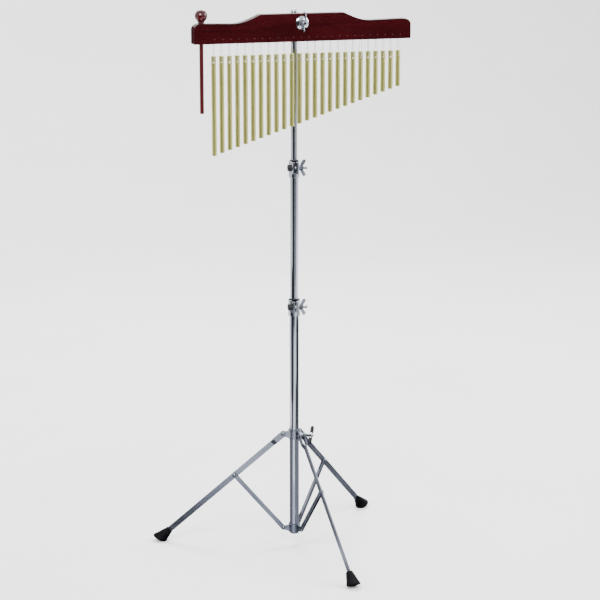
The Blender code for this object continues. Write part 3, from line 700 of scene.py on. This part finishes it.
def build_clamp(name, tube_r, inner_r):
    """A clamp with its bush, bolt and wing nut."""
    joint = JOINTS[f"{name}_wing_turn"]
    bolt = Vector(joint["pos_m"])
    along = Vector(joint["axis"])
    bolt_forward = (bolt - Vector((POLE.x, POLE.y, bolt.z))).length
    band = axes_at(along, Vector((0, 0, 1)).cross(along), (0, 0, 1), (POLE.x, POLE.y, bolt.z))
    stands_for(f"{name}_clamp", clamp_mesh(tube_r, bolt_forward), "chrome", band)
    bush_place = on_pole(low_z(f"{name}_clamp_bush"))
    bush = bush_mesh(tube_r, inner_r, BUSH_ABOVE_TUBE + 2 * GAP)
    stands_for(f"{name}_clamp_bush", bush, "black_plastic", bush_place)
    bolt_place = band @ shift(y=-bolt_forward) @ ALONG_X
    stands_for(f"{name}_clamp_bolt", clamp_bolt_mesh(), "bright", bolt_place)
    cap = [
        (0, -0.0160), (0.0048, -0.0158), (0.0068, -0.0142), (0.0072, -0.0082), (0.0064, -0.0074),
        (0.0060, -0.0074), (0.0060, -0.0122), (0, -0.0122),
    ]
    cap_body = BODY_OF[f"{name}_clamp_bolt"]
    piece(f"{name}_bolt_cap", turned(cap, 40), "black_plastic", cap_body, bolt_place)
    nut_place = bolt_place @ shift(z=NUT_SEAT) @ turn("Z", CLAMP_NUT_TURN)
    stands_for(f"{name}_clamp_wing_nut", wing_nut(), "zinc", nut_place)


def build_tubes():
    """The three tubes with their clamps, and a plug in each end of the pole."""
    tubes = (
        ("base_tube", BASE_TUBE_R, BASE_TUBE_BORE),
        ("middle_tube", MIDDLE_TUBE_R, MIDDLE_TUBE_BORE),
        ("top_tube", TOP_TUBE_R, TOP_TUBE_BORE),
    )
    for node, radius, bore in tubes:
        length = high_z(node) - low_z(node)
        tube = ring(radius, bore, 0, length, 96)
        stands_for(node, tube, "chrome", on_pole(low_z(node)))
    build_clamp("lower", BASE_TUBE_R, MIDDLE_TUBE_R)
    build_clamp("upper", MIDDLE_TUBE_R, TOP_TUBE_R)
    end, plug = high_z("top_tube_cap"), TOP_TUBE_BORE - CAP_RIM
    low = high_z("top_tube") - end
    dome = [
        (TOP_TUBE_R * math.sin(math.radians(a)), 0.0055 * (math.cos(math.radians(a)) - 1))
        for a in range(0, 91, 9)
    ]
    cap = dome + [(TOP_TUBE_R, low + GAP), (plug, low + GAP), (plug, low - 0.010), (0, low - 0.010)]
    stands_for("top_tube_cap", turned(cap), "bright", on_pole(end))
    foot, plug = low_z("base_tube"), BASE_TUBE_BORE - CAP_RIM
    end_cap = [
        (0, 0.010), (plug, 0.010), (plug, -GAP), (BASE_TUBE_R, -GAP), (BASE_TUBE_R - 0.001, -0.003),
        (0, -0.003),
    ]
    stands_for("base_end_cap", turned(end_cap), "black_plastic", on_pole(foot))


# ---- tripod --------------------------------------------------------------------------------
def leg_frame(side):
    """The leg's hinge, X down the leg and Y along the hinge's axis, and the collar's pivot."""
    leg, brace = JOINTS[f"leg_{side}_fold"], JOINTS[f"brace_{side}_fold"]
    hinge, across = Vector(leg["pos_m"]), Vector(leg["axis"])
    along = (Vector(brace["pos_m"]) - hinge).normalized()
    collar = Vector((hinge.x, hinge.y, middle_z("base_collar")))
    return axes_at(along, across, along.cross(across), hinge), collar


def lug_place(side, z):
    """The frame of a lug: X away from the pole in the leg's plane, on the pole's own height z."""
    across = Vector(JOINTS[f"leg_{side}_fold"]["axis"])
    out = across.cross(Vector((0, 0, 1)))
    return axes_at(out, across, (0, 0, 1), (POLE.x, POLE.y, z)) @ shift(y=PLANE_SHIFT)


def rivet(reach, head, shank_r, head_r):
    """A rivet along Z, its domed heads starting at reach either way."""
    half = [(0, reach + head), (0.45 * head_r, reach + 0.9 * head)]
    half += [(0.85 * head_r, reach + 0.5 * head), (head_r, reach + 0.0005)]
    half += [(head_r, reach), (shank_r, reach)]
    return turned(half + [(r, -z) for r, z in reversed(half)], 32, edge=0.00015)


def build_hub():
    """The sleeve that the legs hang on, with three lugs, their pivot pins and the bolt's boss."""
    z = JOINTS["leg_front_fold"]["pos_m"][2]
    place = on_pole(z)
    local = place.inverted()
    lug = slab(
        [(0.004, -0.0090), (0.0170, -0.0062)] + arc((PIVOT_RADIUS, 0), 0.0050, -60, 90, 16)
        + [(0.004, 0.0080)],
        -LUG_HALF, LUG_HALF, 0.0008,
    )
    pin = rivet(LUG_HALF + CHEEK + 2 * GAP, 0.0016, 0.0022, 0.0038)
    tools = []
    for side in SIDES_OF_STAND:
        at = local @ lug_place(side, z)
        tools.append((lug, at))
        tools.append((pin, at @ shift(x=PIVOT_RADIUS) @ ALONG_BACK))
    out = Vector(JOINTS["hub_wing_turn"]["axis"])
    at_bolt = axes_at(Vector((0, 0, 1)).cross(out), (0, 0, 1), out, (0, 0, 0))
    tools.append((cylinder(0.0048, 0.008, 0.0168, 36), at_bolt))
    sleeve = ring(SLEEVE_R, BASE_TUBE_R + SLIP, -HUB_HALF, HUB_HALF, edge=0.0008)
    bore = cylinder(BASE_TUBE_R + SLIP, -0.02, 0.02)
    bolt_hole = cylinder(BOLT_HOLE_R, 0.005, 0.03, 24)
    hub = cut(union(sleeve, *tools), (bore, Matrix()), (bolt_hole, at_bolt))
    stands_for("leg_hub", hub, "zinc", place)


def build_collar():
    """The sleeve at the tube's foot, with a lug for each brace."""
    z = middle_z("base_collar")
    place = on_pole(z)
    outline = [(0.004, -0.0076), (0.0170, -0.0052)] + arc((PIVOT_RADIUS, 0), 0.0044, -60, 60, 14)
    outline += [(0.0170, 0.0056), (0.004, 0.0080)]
    lug = slab(outline, -LEG_HALF_WIDTH, LEG_HALF_WIDTH, 0.0003)
    tools = [(lug, place.inverted() @ lug_place(side, z)) for side in SIDES_OF_STAND]
    sleeve = ring(SLEEVE_R, BASE_TUBE_R + SLIP, -COLLAR_HALF, COLLAR_HALF, edge=0.0008)
    bore = cylinder(BASE_TUBE_R + SLIP, -0.02, 0.02)
    stands_for("base_collar", cut(union(sleeve, *tools), (bore, Matrix())), "zinc", place)


def leg_mesh(brace_at):
    """A flat bar along +X from the hub pivot, its top end split into a fork round the lug."""
    half, deep = LEG_HALF_WIDTH, LEG_DEPTH / 2
    tip = LEG_LENGTH - FOOT_LENGTH + LEG_IN_FOOT
    inner = LUG_HALF + GAP
    outer = inner + CHEEK
    upper = [(-0.01, inner), (FORK_LENGTH, inner), (FORK_NECK - 0.0015, 0.0)]
    lower = [(x, -y) for x, y in reversed(upper[:-1])]
    rim = [(-0.01, -outer), (FORK_LENGTH, -outer), (FORK_NECK, -half), (tip, -half)]
    rim += [(x, -y) for x, y in reversed(rim)]
    plan = flat(slab(eased(upper + lower + rim, 0.0012), -0.01, 0.01, 0.0))
    outline = [(tip + 0.01, -deep), (tip + 0.01, deep)] + arc((0, 0), deep, 90, 270, 28)
    side = slab(outline, -0.01, 0.01, 0.0)
    mesh = combined("INTERSECT", plan, (side, Matrix()))
    mesh = cut(mesh, (cylinder(0.0026, -0.01, 0.01, 24), ALONG_BACK))
    pin = rivet(BRACE_HALF_WIDTH + GAP, 0.0026, 0.0020, 0.0046)
    return union(mesh, (pin, shift(x=brace_at) @ ALONG_BACK))


def brace_mesh(length):
    """A channel along +X from its pivot on the leg, open at both ends round leg and lug."""
    half = BRACE_DEPTH / 2
    inner = BRACE_HALF_WIDTH - BRACE_WALL
    body = slab(bar_outline(0, length, half), -BRACE_HALF_WIDTH, BRACE_HALF_WIDTH, 0.0004)
    leg_end = box((-0.02, -inner, -0.02), (BRACE_FORK, inner, 0.02))
    collar_end = box((length - BRACE_FORK, -inner, -0.02), (length + 0.02, inner, 0.02))
    trough = box((0, -inner, -half + BRACE_WALL), (length, inner, 0.02))
    mesh = cut(
        body, (leg_end, Matrix()), (collar_end, Matrix()), (trough, Matrix()),
        (cylinder(0.0025, -0.01, 0.01, 24), ALONG_BACK),
    )
    head = turned(
        [(0, 0.0018), (0.0016, 0.0016), (0.0029, 0.0009), (0.0034, 0.0004), (0.0034, -0.0004),
         (0, -0.0004)], 28, edge=0.0001,
    )
    return union(
        mesh,
        (head, shift(x=length, y=BRACE_HALF_WIDTH) @ ALONG_BACK),
        (head, shift(x=length, y=-BRACE_HALF_WIDTH) @ ALONG_FRONT),
    )


def foot_mesh(to_world):
    """A rubber cone round the leg's end, flared to a domed sole and flat where it stands."""
    start, end = LEG_LENGTH - FOOT_LENGTH, LEG_LENGTH
    profile = [
        (0, start), (0.0064, start), (0.0072, start + 0.0012), (0.0075, start + 0.0030),
        (0.0094, start + 0.010), (0.0117, start + 0.020), (0.0138, end - 0.0030),
        (0.0140, end - 0.0018), (0.0139, end - 0.0008), (0.0130, end), (0.0070, end + 0.0016),
        (0, end + 0.0022),
    ]
    cone = turned(profile, 64, edge=0.0008)
    cone.transform(ALONG_X)
    back = to_world.inverted()
    for vert in cone.vertices:
        share = min(max((vert.co.x - start) / (end - start), 0.0), 1.0)
        vert.co.x += SOLE_SLOPE * share * vert.co.z
        world = to_world @ vert.co
        world.z = max(world.z, 0.0)
        vert.co = back @ world
    room = 0.00035
    half, wide = LEG_DEPTH / 2 + room, LEG_HALF_WIDTH + room
    socket = box((start - 0.01, -wide, -half), (start + LEG_IN_FOOT + room, wide, half), 0.0004)
    return cut(cone, (socket, Matrix()))


def build_legs():
    """Each leg with its foot and brace. A foot's mesh is square to the world: its box is tight."""
    for side in SIDES_OF_STAND:
        place, collar = leg_frame(side)
        hip = Vector(JOINTS[f"leg_{side}_fold"]["pos_m"])
        knee = Vector(JOINTS[f"brace_{side}_fold"]["pos_m"])
        stands_for(f"leg_{side}", leg_mesh((knee - hip).length), "zinc", place)
        spot = Matrix.Translation(hip)
        stands_for(f"foot_{side}", moved(foot_mesh(place), spot.inverted() @ place), "rubber", spot)
        down = collar - knee
        across = Vector(JOINTS[f"leg_{side}_fold"]["axis"])
        brace_place = axes_at(down.normalized(), across, down.normalized().cross(across), knee)
        stands_for(f"brace_{side}", brace_mesh(down.length), "zinc", brace_place)


def build_wing_bolt():
    """The T bolt in the hub's boss, with a black cap on each end of its handle."""
    joint = JOINTS["hub_wing_turn"]
    out = Vector(joint["axis"])
    origin = (POLE.x, POLE.y, joint["pos_m"][2])
    tips = [sum(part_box(f"hub_wing_tip_{name}"), Vector()) / 2 for name in ("upper", "lower")]
    handle = (tips[1] - tips[0]).normalized()
    place = axes_at(handle, out.cross(handle), out, origin)
    bore = BASE_TUBE_R + SLIP
    shank = [(0, WING_BOLT_REACH - 0.004), (0.0027, WING_BOLT_REACH - 0.004)]
    shank += threaded(BOLT_R, bore + 0.0005, WING_BOLT_REACH - 0.009)
    shank += [(BOLT_CORE_R, bore), (0, bore)]
    knob = turned(
        [(0, 0.0050), (0.0020, 0.0048), (0.0036, 0.0038), (0.0046, 0.0020), (0.0048, -0.0020),
         (0.0041, -0.0050), (0.0040, -0.0085), (0, -0.0085)], 40,
    )
    at = shift(z=WING_BOLT_REACH)
    arm = cylinder(0.0025, -0.011, 0.011, 32)
    mesh = union(turned(shank, 32, edge=0.00008), (knob, at), (arm, at @ ALONG_X))
    stands_for("hub_wing_bolt", mesh, "bright", place)
    cap = [
        (0.0028, 0), (0.0034, 0), (0.0037, 0.0010), (0.0037, 0.0030), (0.0034, 0.0115),
        (0.0026, 0.0133), (0.0013, 0.0140), (0, 0.0142), (0, 0.0060), (0.0028, 0.0060),
    ]
    tip = turned(cap, 40, edge=0.0003)
    for name, side in (("upper", -90), ("lower", 90)):
        tip_place = place @ at @ turn("Y", side) @ shift(z=0.0053)
        stands_for(f"hub_wing_tip_{name}", tip, "black_plastic", tip_place)


# ---- room ----------------------------------------------------------------------------------
def plain(name, colour, rough):
    """A studio surface with a faint mottle."""
    look = bpy.data.materials.new(name)
    look.use_nodes = True
    tree = look.node_tree
    shader = tree.nodes["Principled BSDF"]
    darker = tuple(0.96 * part for part in colour)
    tree.links.new(ramp(tree, noise(tree, 3.0, (1, 1, 1)), (0.3, darker), (0.7, colour)),
                   shader.inputs["Base Color"])
    shader.inputs["Roughness"].default_value = rough
    return look


def stage_piece(name, bm, look):
    obj = bpy.data.objects.new(name, finished(bm, name))
    bpy.context.scene.collection.objects.link(obj)
    obj.data.materials.append(look)
    obj.data.shade_smooth()
    return obj


def build_floor():
    """A pale floor that sweeps up into a wall well behind the stand."""
    bm = bmesh.new()
    sweep = [(-9.0, 0.0), (3.0, 0.0)] + arc((3.0, 2.0), 2.0, -90, 0, 16)[1:] + [(5.0, 7.0)]
    left, right = ([bm.verts.new((x, y, z)) for y, z in sweep] for x in (-9.0, 9.0))
    for k in range(len(sweep) - 1):
        bm.faces.new((left[k], right[k], right[k + 1], left[k + 1]))
    stage_piece("studio_floor", bm, plain("pale_floor", (0.86, 0.86, 0.86), 0.9))


def build_card(name, azimuths, near, far, shade=CARD_SHADE):
    """A card seen in reflections only, between two azimuths from the camera's.

    near and far are its two edges, each a radius from the pole and a height.
    """
    heading = math.radians(CAMERA_HEADING)
    to_camera = Vector((-math.sin(heading), -math.cos(heading), 0))
    to_right = Vector((math.cos(heading), -math.sin(heading), 0))
    start, end = azimuths
    bm = bmesh.new()
    rows = []
    for k in range(13):
        angle = math.radians(start + (end - start) * k / 12)
        out = to_camera * math.cos(angle) + to_right * math.sin(angle)
        spots = [(POLE.x + out.x * r, POLE.y + out.y * r, z) for r, z in (near, far)]
        rows.append([bm.verts.new(spot) for spot in spots])
    for (a, b), (c, d) in zip(rows, rows[1:]):
        bm.faces.new((a, c, d, b))
    card = stage_piece(name, bm, plain(f"{name}_cloth", (shade, shade, 1.15 * shade), 0.9))
    card.visible_camera = card.visible_diffuse = card.visible_shadow = False


def build_light(name, place, size, power, target=(0, 0, 0.55)):
    lamp = bpy.data.lights.new(name, "AREA")
    lamp.shape = "RECTANGLE"
    lamp.size, lamp.size_y = size
    lamp.energy = power
    obj = bpy.data.objects.new(name, lamp)
    bpy.context.scene.collection.objects.link(obj)
    obj.location = place
    obj.rotation_euler = (Vector(target) - Vector(place)).to_track_quat("-Z", "Y").to_euler()


def build_cards():
    """Standing cards well out, and mats on the floor, that give the chrome its dark bands."""
    for name, azimuths, radius, low, high in (
        ("left", (-50, -9.5), 2.0, 0.0, 1.6),
        ("behind", (-14, 19), 4.8, 0.0, 2.4),
        ("right", (27, 50), 2.4, 0.0, 1.6),
        ("low_right", (50, 128), 1.30, 0.0, 0.20),
        ("low_left", (-80, -50), 1.10, 0.0, 0.36),
        ("far_left", (-152, -130), 3.0, 0.3, 1.9),
    ):
        build_card(f"card_{name}", azimuths, (radius, low), (radius, high))
    for name, azimuths, near, far, shade in (
        ("left", (-64, -24), 0.80, 2.0, CARD_SHADE),
        ("inner", (-25, -11), 1.10, 2.0, CARD_SHADE),
        ("front", (-13, 18), 1.9, 4.8, CARD_SHADE),
        ("right", (30, 128), 0.85, 1.30, CARD_SHADE),
        ("under_left", (-180, -48), 0.03, 0.85, 0.08),
        ("under_side", (-48, -30), 0.03, 0.85, 0.26),
        ("under_front", (-30, 12), 0.03, 0.42, 0.45),
        ("under_right", (12, 180), 0.03, 0.85, 0.11),
    ):
        build_card(f"mat_{name}", azimuths, (near, MAT_HEIGHT), (far, MAT_HEIGHT), shade)


def build_room():
    build_floor()
    build_cards()
    build_light("key", (-1.8, -2.8, 3.0), (1.8, 1.6), 240)
    build_light("fill", (3.0, -0.6, 2.2), (1.3, 2.2), 110)
    build_light("back", (0.4, 2.0, 3.2), (2.4, 1.2), 190, (0.2, 1.2, 0.0))
    world = bpy.data.worlds.new("studio")
    world.use_nodes = True
    bpy.context.scene.world = world
    background = world.node_tree.nodes["Background"]
    background.inputs["Color"].default_value = (0.98, 0.99, 1.0, 1.0)
    background.inputs["Strength"].default_value = 1.8


def build_camera():
    """Long lens, a little above the board, looking down at the stand from its left."""
    heading = math.radians(CAMERA_HEADING)
    camera = bpy.data.cameras.new("camera")
    camera.sensor_width = 36.0
    camera.lens = CAMERA_LENS
    obj = bpy.data.objects.new("camera", camera)
    bpy.context.scene.collection.objects.link(obj)
    obj.location = (
        POLE.x - CAMERA_DISTANCE * math.sin(heading),
        POLE.y - CAMERA_DISTANCE * math.cos(heading),
        CAMERA_HEIGHT,
    )
    pitch, aim = math.radians(CAMERA_PITCH), math.radians(CAMERA_AIM)
    obj.rotation_euler = (math.pi / 2 - pitch, 0, -(heading + aim))
    bpy.context.scene.camera = obj


# ---- assembly ------------------------------------------------------------------------------
LOOKS = {**wood_looks(), **metal_looks(), **plastic_looks()}
build_board()
build_board_bolt()
drill = hole_cutter()
for name in CHIMES:
    build_bar(name, drill)
build_beater()
build_tubes()
build_hub()
build_collar()
build_legs()
build_wing_bolt()
build_room()
build_camera()
